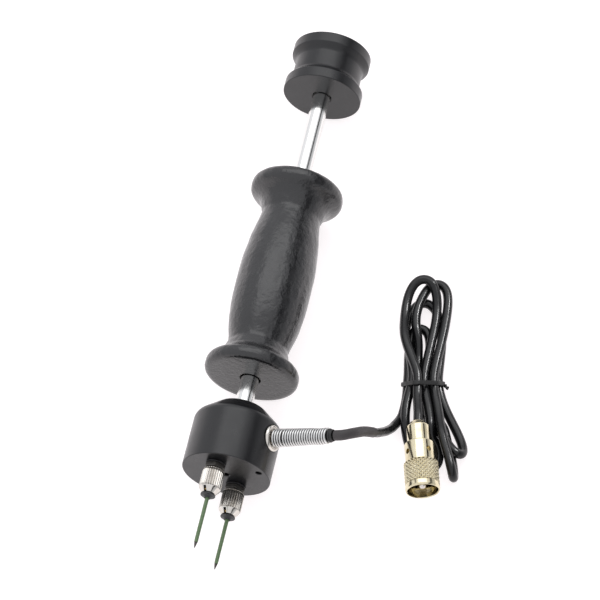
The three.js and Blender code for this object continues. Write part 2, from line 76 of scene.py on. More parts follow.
base_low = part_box("base_body")[0]
rod_low, rod_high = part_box("rod")
UNDERSIDE = base_low.y
AXIS_HEIGHT = (rod_low.z + rod_high.z) / 2

TOOL = millimetres(0, UNDERSIDE, AXIS_HEIGHT)
HEAD = TOOL @ rotation(HEAD_ROLL, "Y")
LEAD_SIDE = HEAD @ rotation(RELIEF_TURN, "Y")
RELIEF = LEAD_SIDE @ Matrix.Translation((0, GLAND_HEIGHT, 0)) @ rotation(math.radians(-90), "Z")
PLUG = millimetres(0.09965, UNDERSIDE + 0.01735, 0.0143) @ rotation(PLUG_TURN, "Z")
HANK = millimetres(0.08655, UNDERSIDE + 0.0845, 0) @ rotation(HANK_TURN, "Z")
WORLD_MM = Matrix.Scale(MM, 4)


def holder_frame(side):
    return HEAD @ Matrix.Translation((0, 0, side * HOLDER_OFFSET))


# ---------------------------------------------------------------- camera, floor and light

def look_from(azimuth, elevation, distance, target, focal_length):
    camera = bpy.data.objects.new("camera", bpy.data.cameras.new("camera"))
    bpy.context.scene.collection.objects.link(camera)
    a, e = math.radians(azimuth), math.radians(elevation)
    back = Vector((math.sin(a) * math.cos(e), -math.cos(a) * math.cos(e), math.sin(e)))
    camera.location = Vector(target) + distance * back
    camera.rotation_mode = "QUATERNION"
    camera.rotation_quaternion = (-back).to_track_quat("-Z", "Y")
    camera.data.lens = focal_length
    camera.data.clip_start = 0.05
    bpy.context.scene.camera = camera


def softbox(name, location, target, size, energy):
    light = bpy.data.objects.new(name, bpy.data.lights.new(name, "AREA"))
    bpy.context.scene.collection.objects.link(light)
    light.data.shape = "RECTANGLE"
    light.data.size, light.data.size_y = size
    light.data.energy = energy
    light.location = location
    aim = Vector(target) - Vector(location)
    light.rotation_mode = "QUATERNION"
    light.rotation_quaternion = aim.to_track_quat("-Z", "Y")
    return light


def glint(piece):
    """A bright narrow softbox whose light falls on that piece alone."""
    light = softbox(f"{piece.name}_glint", location=(0.72, 0.67, 1.15), target=(0.09, -0.03, 0),
                    size=(0.12, 0.5), energy=14)
    receivers = bpy.data.collections.new(f"{piece.name}_receivers")
    receivers.objects.link(piece)
    light.light_linking.receiver_collection = receivers


TENT_STRENGTH = 1.06
TENT_TINT = (0.96, 0.965, 1)
# How bright the tent is, by the angle round the tool's axis from overhead toward +X, in degrees.
TENT = [
    (-180, 0.85), (-95, 0.85), (-60, 1.0), (38, 0.96), (45, 0.02), (54, 0.02), (64, 0.6), (85, 0.7),
    (120, 0.6), (180, 0.85),
]


def studio():
    """A white light tent with a dark seam above the tool's right side, and one large softbox."""
    world = bpy.data.worlds.new("studio")
    bpy.context.scene.world = world
    world.use_nodes = True
    nodes, links = world.node_tree.nodes, world.node_tree.links
    way = nodes.new("ShaderNodeSeparateXYZ")
    links.new(nodes.new("ShaderNodeTexCoord").outputs["Generated"], way.inputs[0])
    angle = nodes.new("ShaderNodeMath")
    angle.operation = "ARCTAN2"
    links.new(way.outputs["X"], angle.inputs[0])
    links.new(way.outputs["Z"], angle.inputs[1])
    share = nodes.new("ShaderNodeMapRange")
    share.inputs["From Min"].default_value = -math.pi
    share.inputs["From Max"].default_value = math.pi
    links.new(angle.outputs[0], share.inputs["Value"])
    tent = nodes.new("ShaderNodeValToRGB")
    tent.color_ramp.interpolation = "EASE"
    stops = tent.color_ramp.elements
    for i, (degrees, bright) in enumerate(TENT):
        at = (degrees + 180) / 360
        stop = stops[i] if i < 2 else stops.new(at)
        stop.position = at
        stop.color = (*(bright * part for part in TENT_TINT), 1)
    links.new(share.outputs["Result"], tent.inputs["Fac"])
    background = nodes["Background"]
    background.inputs["Strength"].default_value = TENT_STRENGTH
    links.new(tent.outputs["Color"], background.inputs["Color"])
    softbox("key", location=(-0.2, 0.75, 1.4), target=(0, -0.02, 0), size=(1.6, 1.0), energy=5.7)
    bpy.context.scene.view_settings.view_transform = "Standard"


def floor():
    half = 3
    mesh = bpy.data.meshes.new("floor")
    corners = [(-half, -half, 0), (half, -half, 0), (half, half, 0), (-half, half, 0)]
    mesh.from_pydata(corners, [], [(0, 1, 2, 3)])
    plane = bpy.data.objects.new("floor", mesh)
    bpy.context.scene.collection.objects.link(plane)
    paint = bpy.data.materials.new("floor")
    paint.use_nodes = True
    shader = paint.node_tree.nodes["Principled BSDF"]
    shader.inputs["Base Color"].default_value = (0.44, 0.425, 0.43, 1)
    shader.inputs["Roughness"].default_value = 0.9
    shader.inputs["Specular IOR Level"].default_value = 0.1
    shader.inputs["Emission Color"].default_value = (1, 0.96, 0.965, 1)
    shader.inputs["Emission Strength"].default_value = 0.82
    mesh.materials.append(paint)


look_from(
    azimuth=12.29, elevation=61.03, distance=1.701, target=(0.01531, 0.00057, 0.025), focal_length=193.77,
)
studio()
floor()

# ---------------------------------------------------------------- materials

class Shade:
    """A Principled material and short calls for the nodes that feed it."""

    def __init__(self, name, colour, metallic=0.0, roughness=0.5, specular=0.5, coat=0.0,
                 coat_roughness=0.1):
        self.material = bpy.data.materials.new(name)
        self.material.use_nodes = True
        self.tree = self.material.node_tree
        self.shader = self.tree.nodes["Principled BSDF"]
        self.shader.inputs["Base Color"].default_value = (*colour, 1)
        self.shader.inputs["Metallic"].default_value = metallic
        self.shader.inputs["Roughness"].default_value = roughness
        self.shader.inputs["Specular IOR Level"].default_value = specular
        self.shader.inputs["Coat Weight"].default_value = coat
        self.shader.inputs["Coat Roughness"].default_value = coat_roughness
        self.place = self.add("ShaderNodeTexCoord").outputs["Object"]
        self.normal = None

    def add(self, kind, **settings):
        node = self.tree.nodes.new(kind)
        for name, value in settings.items():
            setattr(node, name, value)
        return node

    def feed(self, node, **values):
        for name, value in values.items():
            socket = node.inputs[name.replace("_", " ")]
            if isinstance(value, bpy.types.NodeSocket):
                self.tree.links.new(value, socket)
            else:
                socket.default_value = value
        return node

    def noise(self, size, detail=2.0, stretch=(1, 1, 1)):
        """Noise of about that grain size in metres, as a socket from 0 to 1."""
        mapping = self.add("ShaderNodeMapping")
        self.feed(mapping, Vector=self.place, Scale=stretch)
        node = self.add("ShaderNodeTexNoise")
        self.feed(node, Vector=mapping.outputs["Vector"], Scale=1 / size, Detail=detail)
        return node.outputs["Fac"]

    def cells(self, size):
        node = self.add("ShaderNodeTexVoronoi", feature="SMOOTH_F1")
        self.feed(node, Vector=self.place, Scale=1 / size, Smoothness=0.6)
        return node.outputs["Distance"]

    def ramp(self, factor, low, high, start=0.3, end=0.7):
        """A number that goes from low to high as the factor goes from start to end."""
        node = self.add("ShaderNodeMapRange")
        self.feed(node, Value=factor, From_Min=start, From_Max=end, To_Min=low, To_Max=high)
        return node.outputs["Result"]

    def vary_colour(self, factor, other):
        """The base colour, turning to the other one as the factor rises."""
        node = self.add("ShaderNodeMix", data_type="RGBA")
        self.tree.links.new(factor, node.inputs[0])
        node.inputs[6].default_value = self.shader.inputs["Base Color"].default_value
        node.inputs[7].default_value = (*other, 1)
        self.tree.links.new(node.outputs[2], self.shader.inputs["Base Color"])

    def paint_groove_shade(self, reach, colour):
        """Painted shade: a darker colour painted into grooves and corners narrower than the reach, where
        light is blocked.
        """
        open_sky = self.add("ShaderNodeAmbientOcclusion", samples=8, only_local=True)
        self.feed(open_sky, Distance=reach)
        mix = self.add("ShaderNodeMix", data_type="RGBA")
        base = self.shader.inputs["Base Color"]
        self.tree.links.new(self.ramp(open_sky.outputs["AO"], 1.0, 0.0, 0.4, 0.86), mix.inputs[0])
        if base.is_linked:
            self.tree.links.new(base.links[0].from_socket, mix.inputs[6])
        else:
            mix.inputs[6].default_value = base.default_value
        mix.inputs[7].default_value = (*colour, 1)
        self.tree.links.new(mix.outputs[2], base)

    def vary_roughness(self, factor, low, high):
        self.tree.links.new(self.ramp(factor, low, high), self.shader.inputs["Roughness"])

    def emboss(self, height, depth, strength=1.0):
        """Bump of that depth in metres, on top of what is there already."""
        node = self.add("ShaderNodeBump")
        self.feed(node, Height=height, Distance=depth, Strength=strength)
        if self.normal is not None:
            self.tree.links.new(self.normal, node.inputs["Normal"])
        self.normal = node.outputs["Normal"]
        for socket in ("Normal", "Coat Normal"):
            self.tree.links.new(self.normal, self.shader.inputs[socket])

    def turning_marks(self, pitch):
        """Fine grooves left by a lathe round the tool's axis: rings on end faces, hoops on sides."""
        parts = self.add("ShaderNodeSeparateXYZ")
        self.feed(parts, Vector=self.place)
        height = self.maths("SUBTRACT", parts.outputs["Z"], AXIS_HEIGHT)
        across = self.maths("MULTIPLY", parts.outputs["X"], parts.outputs["X"])
        up = self.maths("MULTIPLY", height, height)
        radius = self.maths("SQRT", self.maths("ADD", across, up), 0.0)
        travel = self.maths("ADD", radius, parts.outputs["Y"])
        return self.maths("SINE", self.maths("MULTIPLY", travel, 2 * math.pi / pitch), 0.0)

    def maths(self, operation, first, second):
        node = self.add("ShaderNodeMath", operation=operation)
        for socket, value in zip(node.inputs, (first, second)):
            if isinstance(value, bpy.types.NodeSocket):
                self.tree.links.new(value, socket)
            else:
                socket.default_value = value
        return node.outputs[0]


def black_anodised():
    shade = Shade("black_anodised", (0.0055, 0.0058, 0.007), roughness=0.3, specular=0.53)
    shade.vary_roughness(shade.noise(0.006, 4), 0.27, 0.35)
    shade.vary_colour(shade.noise(0.0015, 3), (0.008, 0.0081, 0.0092))
    shade.emboss(shade.turning_marks(0.00034), 0.000006, 0.5)
    shade.emboss(shade.noise(0.0003, 2), 0.000008, 0.4)
    return shade.material


def polished_steel():
    shade = Shade("polished_steel", (0.79, 0.79, 0.775), metallic=1.0, roughness=0.16)
    shade.vary_roughness(shade.noise(0.004, 3, (1, 0.15, 1)), 0.12, 0.22)
    shade.emboss(shade.noise(0.0006, 2, (1, 0.03, 1)), 0.000002, 0.5)
    return shade.material


def pebbled_vinyl():
    shade = Shade("pebbled_vinyl", (0.0045, 0.0046, 0.0056), roughness=0.25, specular=0.64, coat=0.2,
                  coat_roughness=0.2)
    shade.vary_roughness(shade.noise(0.005, 3), 0.2, 0.32)
    shade.vary_colour(shade.noise(0.012, 3), (0.007, 0.007, 0.0082))
    shade.emboss(shade.noise(0.0011, 3), 0.00017, 0.75)
    shade.emboss(shade.cells(0.0021), 0.00014, 0.65)
    return shade.material


def cable_jacket():
    shade = Shade("cable_jacket", (0.0035, 0.0035, 0.0039), roughness=0.22, specular=0.4)
    shade.vary_roughness(shade.noise(0.008, 3), 0.2, 0.34)
    shade.emboss(shade.noise(0.0022, 2), 0.00005, 0.4)
    return shade.material


def sleeve_rubber():
    shade = Shade("sleeve_rubber", (0.042, 0.038, 0.039), roughness=0.55, specular=0.4)
    shade.vary_roughness(shade.noise(0.004, 3), 0.48, 0.62)
    shade.vary_colour(shade.noise(0.0025, 3), (0.052, 0.047, 0.047))
    shade.emboss(shade.noise(0.0008, 3), 0.00003, 0.5)
    return shade.material


def plain_rubber():
    shade = Shade("plain_rubber", (0.012, 0.012, 0.012), roughness=0.55)
    shade.vary_roughness(shade.noise(0.002, 3), 0.48, 0.62)
    shade.emboss(shade.noise(0.0005, 2), 0.00002, 0.5)
    return shade.material


def plated(name, colour, tarnish, groove_shade, low=0.1, high=0.24, reach=0.0009):
    """A plated metal with patches of tarnish, and painted shade in grooves narrower than the reach in
    metres.
    """
    shade = Shade(name, colour, metallic=1.0, roughness=low)
    shade.vary_roughness(shade.noise(0.003, 4), low, high)
    shade.vary_colour(shade.ramp(shade.noise(0.004, 3), 0.0, 0.6), tarnish)
    # Painted shade: the grooves and corners are darkened in the colour itself.
    shade.paint_groove_shade(reach, groove_shade)
    shade.emboss(shade.noise(0.0004, 2), 0.000004, 0.4)
    return shade.material


def blackened_steel():
    shade = Shade("blackened_steel", (0.055, 0.053, 0.05), metallic=0.7, roughness=0.38)
    shade.vary_roughness(shade.noise(0.001, 3), 0.3, 0.5)
    shade.vary_colour(shade.ramp(shade.noise(0.0015, 3), 0.0, 0.5), (0.11, 0.10, 0.09))
    shade.emboss(shade.noise(0.0003, 2), 0.000008, 0.4)
    return shade.material


def fibre():
    shade = Shade("fibre", (0.028, 0.0275, 0.03), roughness=0.42)
    shade.vary_roughness(shade.noise(0.0012, 3), 0.34, 0.52)
    shade.vary_colour(shade.noise(0.0007, 3), (0.018, 0.0175, 0.019))
    shade.emboss(shade.noise(0.0004, 2), 0.00001, 0.5)
    return shade.material


def green_coat():
    shade = Shade("green_coat", (0.078, 0.142, 0.054), roughness=0.42, coat=0.15)
    shade.vary_roughness(shade.noise(0.002, 3), 0.36, 0.5)
    shade.vary_colour(shade.ramp(shade.noise(0.0016, 3), 0.0, 0.8), (0.11, 0.18, 0.08))
    shade.emboss(shade.noise(0.0008, 2), 0.00002, 0.4)
    return shade.material


def white_plastic():
    shade = Shade("white_plastic", (0.72, 0.69, 0.62), roughness=0.4)
    shade.vary_roughness(shade.noise(0.002, 2), 0.34, 0.48)
    shade.emboss(shade.noise(0.0005, 2), 0.00001, 0.4)
    return shade.material


def turned_brass():
    shade = Shade("turned_brass", (0.62, 0.45, 0.20), metallic=1.0, roughness=0.25)
    shade.vary_roughness(shade.noise(0.002, 3), 0.2, 0.36)
    shade.emboss(shade.noise(0.0004, 2), 0.000006, 0.4)
    return shade.material


def cast_steel():
    shade = Shade("cast_steel", (0.20, 0.20, 0.21), metallic=0.9, roughness=0.5)
    shade.vary_roughness(shade.noise(0.003, 3), 0.42, 0.6)
    shade.emboss(shade.noise(0.001, 3), 0.00004, 0.5)
    return shade.material


def red_insulation():
    shade = Shade("red_insulation", (0.28, 0.02, 0.015), roughness=0.4)
    shade.vary_roughness(shade.noise(0.002, 2), 0.34, 0.48)
    return shade.material


LOOKS = {
    "black_anodised": black_anodised(),
    "polished_steel": polished_steel(),
    "blackened_steel": blackened_steel(),
    "cast_core": cast_steel(),
    "black_vinyl": pebbled_vinyl(),
    "white_plastic": white_plastic(),
    "dark_plastic": fibre(),
    "brass": turned_brass(),
    # The last colour given to each plated look is painted shade for its grooves and corners.
    "nickel_plate": plated("nickel_plate", (0.70, 0.67, 0.625), (0.55, 0.52, 0.475), (0.15, 0.13, 0.11)),
    "dark_steel": plated("dark_steel", (0.10, 0.092, 0.085), (0.06, 0.055, 0.05), (0.03, 0.03, 0.03),
                         low=0.3, high=0.45),
    "green_coating": green_coat(),
    "zinc_plate": plated("zinc_plate", (0.72, 0.72, 0.71), (0.60, 0.60, 0.59), (0.16, 0.16, 0.16),
                         low=0.26, high=0.38),
    "wire_insulation": red_insulation(),
    "black_rubber": plain_rubber(),
    "cable_jacket": cable_jacket(),
    "tie_plastic": plain_rubber(),
    "plug_plate": plated("plug_plate", (0.77, 0.705, 0.51), (0.64, 0.55, 0.345), (0.13, 0.10, 0.05),
                         low=0.1, high=0.22, reach=0.0016),
    "sleeve_rubber": sleeve_rubber(),
}

for subpart in frame["record"]["subparts"]:
    node = frame["nodes"][subpart["node"]]
    node.data.materials.clear()
    node.data.materials.append(LOOKS[subpart["material_slot"]])

# ---------------------------------------------------------------- mesh helpers

def softened(profile, closed=False):
    """The outline with a small arc at each point that has a third number, which is the cut-back."""
    count = len(profile)
    points = []
    for i, (radius, y, *cut) in enumerate(profile):
        here = Vector((radius, y))
        inside = closed or 0 < i < count - 1
        if not cut or not inside:
            points.append(here)
            continue
        before = Vector(profile[i - 1][:2])
        after = Vector(profile[(i + 1) % count][:2])
        start = here + (before - here).normalized() * cut[0]
        end = here + (after - here).normalized() * cut[0]
        for step in range(6):
            t = step / 5
            points.append((1 - t) ** 2 * start + 2 * t * (1 - t) * here + t * t * end)
    return points


def ruled(points, step):
    """The outline with its long stretches divided, for shapes that change along them."""
    rows = [points[0]]
    for end in points[1:]:
        start = rows[-1]
        count = max(1, math.ceil((end - start).length / step))
        rows += [start.lerp(end, (i + 1) / count) for i in range(count)]
    return rows


def turned(profile, sides=96, ring=False, row=None, shape=None):
    """A closed body of revolution round Y. A ring's outline is a loop that doesn't touch the axis."""
    points = softened(profile, ring)
    if row:
        points = ruled(points, row)
    vertices = []
    rows = []
    for point in points:
        if point.x < 1e-6:
            rows.append([len(vertices)] * sides)
            vertices.append((0, point.y, 0))
            continue
        rows.append(list(range(len(vertices), len(vertices) + sides)))
        for i in range(sides):
            angle = 2 * math.pi * i / sides
            radius = shape(angle, point.y, point.x) if shape else point.x
            vertices.append((radius * math.cos(angle), point.y, radius * math.sin(angle)))
    pairs = list(zip(rows, rows[1:]))
    if ring:
        pairs.append((rows[-1], rows[0]))
    faces = []
    for low, high in pairs:
        for i in range(sides):
            j = (i + 1) % sides
            corners = dict.fromkeys((low[i], high[i], high[j], low[j]))
            if len(corners) > 2:
                faces.append(list(corners))
    return solid(vertices, faces)


def solid(vertices, faces):
    mesh = bpy.data.meshes.new("shape")
    mesh.from_pydata([tuple(v) for v in vertices], [], faces)
    cleaned = bmesh.new()
    cleaned.from_mesh(mesh)
    bmesh.ops.recalc_face_normals(cleaned, faces=cleaned.faces)
    cleaned.to_mesh(mesh)
    cleaned.free()
    return mesh


def swept(points, sections):
    """A body along a line of points. Each section is a ring of offsets from its point."""
    vertices = []
    for point, section in zip(points, sections):
        vertices += [point + offset for offset in section]
    size = len(sections[0])
    faces = []
    for row in range(len(points) - 1):
        for i in range(size):
            j = (i + 1) % size
            a, b = row * size, (row + 1) * size
            faces.append([a + i, b + i, b + j, a + j])
    faces.append(list(range(size)))
    faces.append(list(range((len(points) - 1) * size, len(points) * size)))
    return solid(vertices, faces)


def framed(points):
    """Two directions across a line at each of its points, carried along without twist."""
    along = (points[1] - points[0]).normalized()
    across = along.orthogonal().normalized()
    frames = []
    for i in range(len(points)):
        before = points[max(i - 1, 0)]
        after = points[min(i + 1, len(points) - 1)]
        along = (after - before).normalized()
        across = (across - along * across.dot(along)).normalized()
        frames.append((across, along.cross(across)))
    return frames


def round_sections(points, radii, sides):
    sections = []
    for (across, up), radius in zip(framed(points), radii):
        angles = [2 * math.pi * i / sides for i in range(sides)]
        sections.append([radius * (math.cos(a) * across + math.sin(a) * up) for a in angles])
    return sections


def rod_between(start, end, radius, sides=40):
    points = [Vector(start), Vector(end)]
    return swept(points, round_sections(points, [radius, radius], sides))


def box(low, high):
    xs, ys, zs = zip(low, high)
    corners = [Vector((x, y, z)) for x in xs for y in ys for z in zs]
    faces = [(0, 1, 3, 2), (4, 6, 7, 5), (0, 4, 5, 1), (2, 3, 7, 6), (0, 2, 6, 4), (1, 5, 7, 3)]
    return solid(corners, faces)


def link(name, data):
    piece = bpy.data.objects.new(name, data)
    bpy.context.scene.collection.objects.link(piece)
    return piece


def carved(mesh, cutters):
    body = link("carved", mesh)
    tools = [link("cutter", cutter) for cutter in cutters]
    for tool in tools:
        modifier = body.modifiers.new("cut", "BOOLEAN")
        modifier.operation = "DIFFERENCE"
        modifier.solver = "EXACT"
        modifier.object = tool
    graph = bpy.context.evaluated_depsgraph_get()
    result = bpy.data.meshes.new_from_object(body.evaluated_get(graph))
    for piece in [body, *tools]:
        bpy.data.objects.remove(piece)
    return result


def show(name, mesh, matrix, look, body, *nodes, sharp=32):
    """A finished piece: in the frame's place, smooth-shaded, with its material, riding on its body."""
    mesh.transform(matrix)
    mesh.materials.clear()
    mesh.materials.append(LOOKS[look])
    mesh.shade_smooth()
    mesh.set_sharp_from_angle(angle=math.radians(sharp))
    piece = link(name, mesh)
    weighted = piece.modifiers.new("even_shading", "WEIGHTED_NORMAL")
    weighted.keep_sharp = True
    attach(piece, body)
    if nodes:
        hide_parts(*nodes)
    return piece


def uneven(height, size):
    """A turned shape's radius with low waves in it, as on a dipped or moulded skin."""
    def shape(angle, y, radius):
        place = Vector((radius * math.cos(angle), y, radius * math.sin(angle)))
        return radius + height * noise.noise(place / size)
    return shape


# ---------------------------------------------------------------- base

ROD_RADIUS = 9.525 / 2
GAP = 0.3


def base():
    body = turned([(0, 0), (23.1, 0, 0.5), (23.1, 28.7, 2.2), (12.8, 37.8, 0.7), (0, 37.8)], 160)
    rim_hole = turned([(0, -1), (2.2, -1), (1.95, 0), (1.65, 0.3), (1.65, 17.1), (0, 17.1)], 36)
    rim_hole.transform(Matrix.Translation((19.4, 0, 0)))
    lead_side = [
        rod_between((9.6, GLAND_HEIGHT, 0), (30, GLAND_HEIGHT, 0), 5.3, 48),
        rod_between((21.8, GLAND_HEIGHT, 0), (30, GLAND_HEIGHT, 0), 7.2, 64),
        rim_hole,
    ]
    for cutter in lead_side:
        cutter.transform(rotation(RELIEF_TURN, "Y"))
    cutters = [
        rod_between((0, 15.7, 0), (0, 40, 0), ROD_RADIUS + GAP, 64),
        turned([(0, -1), (2.5, -1), (2.25, 0), (1.9, 0.35), (1.9, 16), (0, 16)], 40),
    ]
    for side in (1, -1):
        z = side * HOLDER_OFFSET
        cutters.append(rod_between((0, -1, z), (0, 16.1, z), 3.3))
        cutters.append(rod_between((0, 14.4, z), (10.9, GLAND_HEIGHT, side * 1.6), 1.3, 16))
    show("base", carved(body, lead_side + cutters), HEAD, "black_anodised", "tool", "base_body")


def rod():
    profile = [(0, 16), (ROD_RADIUS, 16, 0.7), (ROD_RADIUS, 251, 0.7), (0, 251)]
    show("rod_bar", turned(profile, 96), TOOL, "polished_steel", "tool", "rod")


def anvil():
    outline = [
        (5.5, 233.75, 0.15), (21.4, 233.75, 0.45), (21.4, 239.55, 0.3), (18.9, 242.2, 0.8),
        (18.5, 243.4, 0.5), (18.5, 253.1, 0.5), (18.9, 254.3, 0.8), (21.4, 256.95, 0.3),
        (21.4, 262.75, 0.45), (2.3, 262.75, 0.1), (1.9, 262.35), (1.9, 251.3), (5.06, 251.3),
        (5.06, 234.55), (5.5, 234.25),
    ]
    show("anvil_block", turned(outline, 160, ring=True), TOOL, "black_anodised", "tool", "anvil")


# ---------------------------------------------------------------- hammer

GRIP_LOW = 56.5
GRIP_HIGH = 174.2
GRIP_BORE = 5.65
FLANGE_RADIUS = 25
FLANGE_RIM = 6.4
END_ROUND = 3.6
BACK_ROUND = 2.2
FOOT_ROUND = 3.2
WAIST = [
    (75.8, 16.0), (87.8, 18.6), (100.8, 19.9), (110.8, 20.05), (125.8, 19.8), (132.8, 19.1), (140.8, 18.2),
    (147.8, 16.9), (154.3, 15.9),
]


def spool(inset, steps):
    """The grip's outline going up, shrunk by an inset: flanges with sloping backs and a barrel body."""
    wide = FLANGE_RADIUS - inset
    rim = FLANGE_RIM - inset / 2
    flange = [
        (GRIP_BORE, inset), (wide, inset, END_ROUND), (wide, rim, BACK_ROUND),
        (18.4 - 0.6 * inset, 11 - 0.6 * inset, FOOT_ROUND),
    ]
    lower = [(radius, GRIP_LOW + y, *cut) for radius, y, *cut in flange]
    upper = [(radius, GRIP_HIGH - y, *cut) for radius, y, *cut in reversed(flange)]
    ys, radii = zip(*WAIST)
    heights = np.linspace(ys[0] - 1, ys[-1] + 1, steps)
    return lower + [(smooth_through(y, ys, radii) - inset, y) for y in heights] + upper

def smooth_through(x, xs, values):
    """A cubic through the given values, which levels out at its ends."""
    slopes = np.gradient(values, xs)
    x = min(max(x, xs[0]), xs[-1])
    i = min(int(np.searchsorted(xs, x, side="right")) - 1, len(xs) - 2)
    width = xs[i + 1] - xs[i]
    t = (x - xs[i]) / width
    start = (1 + 2 * t) * (1 - t) ** 2 * values[i] + t * (1 - t) ** 2 * width * slopes[i]
    end = t * t * (3 - 2 * t) * values[i + 1] + t * t * (t - 1) * width * slopes[i + 1]
    return start + end


def grip():
    outer = spool(0, 26)
    inner = [(radius, y) for radius, y, *cut in spool(2, 12)]
    outline = outer + inner[::-1]
    mesh = turned(outline, 192, ring=True, row=1.2, shape=uneven(0.13, 2.8))
    show("grip_skin", mesh, TOOL, "black_vinyl", "hammer", "grip_cover", sharp=50)


# ---------------------------------------------------------------- electrode holders

def hexagon(angle, y, radius):
    flat = 5.0
    sector = math.pi / 3
    return min(radius, flat / math.cos((angle % sector) - sector / 2))


def straight_knurl(angle, y, radius):
    """Rounded grooves along the cap's outside."""
    teeth = 28
    depth = 0.5
    if radius <= 5.2 or not -14.6 < y < -4.8:
        return radius
    worn = 0.5 + 0.5 * math.cos(teeth * angle)
    return radius - depth * (1 - worn)


def retainer():
    outline = [
        (3.5, -17.6, 0.3), (5.6, -14.9, 0.4), (5.6, -14.5), (5.75, -14.3), (5.75, -5.2), (5.5, -4.8),
        (5.4, -3.9, 0.7), (3.3, -3.9), (3.3, -11.7), (2.7, -11.7), (2.7, -14.4), (1.5, -16.4), (1.5, -17.6),
    ]
    mesh = turned(outline, 280, ring=True, row=1.1, shape=straight_knurl)
    return carved(mesh, [box((-0.7, -19, -8), (0.7, -15.2, 8))])


def holder(name, side):
    place = holder_frame(side)
    fixed = "tool"
    loose = f"{name}_electrode"
    washer = [(3.3, -0.9), (5.2, -0.9, 0.15), (5.2, -0.3, 0.15), (3.3, -0.3)]
    show(f"{name}_washer_ring", turned(washer, 64, ring=True), place, "dark_plastic", fixed,
         f"{name}_insulating_washer")
    nut = [(3.3, -3.6), (4.9, -3.6), (5.75, -3.2), (5.75, -1.6), (4.9, -1.2), (3.3, -1.2)]
    show(f"{name}_hex_nut", turned(nut, 96, ring=True, shape=hexagon), place, "blackened_steel", fixed,
         f"{name}_nut", sharp=22)
    show(f"{name}_knurled_cap", retainer(), place, "nickel_plate", f"{name}_cap", f"{name}_retainer")
    collar = [
        (1.3, -20.0, 0.1), (1.8, -20.0, 0.2), (2.0, -19.1, 0.3), (3.0, -18.75, 0.3), (3.85, -18.7, 0.25),
        (3.85, -17.95, 0.25), (1.3, -17.95),
    ]
    show(f"{name}_collar_disc", turned(collar, 64, ring=True), place, "dark_plastic", loose,
         f"{name}_pin_collar")
    needle = [(0, -48.3), (0.22, -48.0, 0.1), (0.8, -45.3, 0.3), (0.8, -3, 0.2), (0, -3)]
    show(f"{name}_needle", turned(needle, 32), place, "dark_steel", loose, f"{name}_pin")
    coat = [(0.84, -45.0), (0.95, -44.8, 0.1), (1.0, -43.8, 0.3), (1.03, -18.1), (0.84, -18.1)]
    mesh = turned(coat, 32, ring=True, row=0.8, shape=uneven(0.035, 2.2))
    show(f"{name}_coat", mesh, place, "green_coating", loose, f"{name}_pin_coating")


# ---------------------------------------------------------------- strain relief

SPRING_FOOT = 24.85
SPRING_END = 55.8


def gland():
    outline = [
        (2.6, 11.6), (5.0, 11.6, 0.3), (5.0, 22.15), (6.3, 22.15, 0.2), (6.9, 22.6, 0.3), (6.9, 23.2, 0.5),
        (6.2, 24.05, 0.4), (5.5, 24.1, 0.2), (5.2, 23.7, 0.2), (3.0, 23.7), (3.0, 28.4, 0.2), (2.6, 28.4),
    ]
    show("gland_ring", turned(outline, 96, ring=True), RELIEF, "nickel_plate", "tool", "cable_gland")


def spring():
    """Close coils that taper, with one wider gap near the gland and a slight bend near the far end."""
    wire = 1.22
    turns = 21.6
    per_turn = 30
    count = round(turns * per_turn)
    gap = 0.6
    gap_turn = 3.6
    bend_turn = 18
    points = []
    for i in range(count + 1):
        turn = i / per_turn
        share = turn / turns
        opened = 0.5 * (1 + math.tanh((turn - gap_turn) * 3)) * gap
        y = SPRING_FOOT + (SPRING_END - SPRING_FOOT - gap) * share + opened
        sway = 0.3 * math.exp(-((turn - bend_turn) / 1.6) ** 2)
        radius = 4.3 - 0.62 * share + 0.03 * noise.noise(Vector((turn * 0.7, 0, 0)))
        angle = 2 * math.pi * turn
        points.append(Vector((radius * math.cos(angle) + sway, y, radius * math.sin(angle))))
    mesh = swept(points, round_sections(points, [wire / 2] * len(points), 10))
    show("spring_coils", mesh, RELIEF, "zinc_plate", "tool", "strain_spring", sharp=60)


def boot():
    outline = [
        (2.62, 56.3), (3.3, 56.3, 0.25), (3.65, 56.8, 0.3), (3.55, 57.4, 0.2), (3.15, 57.7, 0.2),
        (3.05, 58.8, 0.3), (2.62, 58.8),
    ]
    show("boot_ring", turned(outline, 64, ring=True), RELIEF, "black_rubber", "tool", "cable_boot")


# ---------------------------------------------------------------- plug

RING_RADIUS = 9.05
RING_LENGTH = 15.6
SOLDER_HOLE_TURN = math.radians(57)


def diamond_knurl(angle, y, radius):
    """Crossed grooves on the ring's outside, and a fine screw thread inside its mouth."""
    pitch = 1.06
    if radius < 8.2 and y < 11:
        phase = (y / pitch - angle / (2 * math.pi)) % 1
        return radius + 0.3 * abs(2 * phase - 1)
    if radius < RING_RADIUS - 0.1 or not 3.5 < y < RING_LENGTH - 0.35:
        return radius
    teeth = 26
    depth = 0.6
    flat = 0.2
    slant = teeth / RING_RADIUS
    grooves = []
    for way in (1, -1):
        phase = (teeth * angle / (2 * math.pi) + way * slant * y / (2 * math.pi)) % 1
        grooves.append(abs(2 * phase - 1))
    return radius - depth * max(0.0, max(grooves) - flat) / (1 - flat)


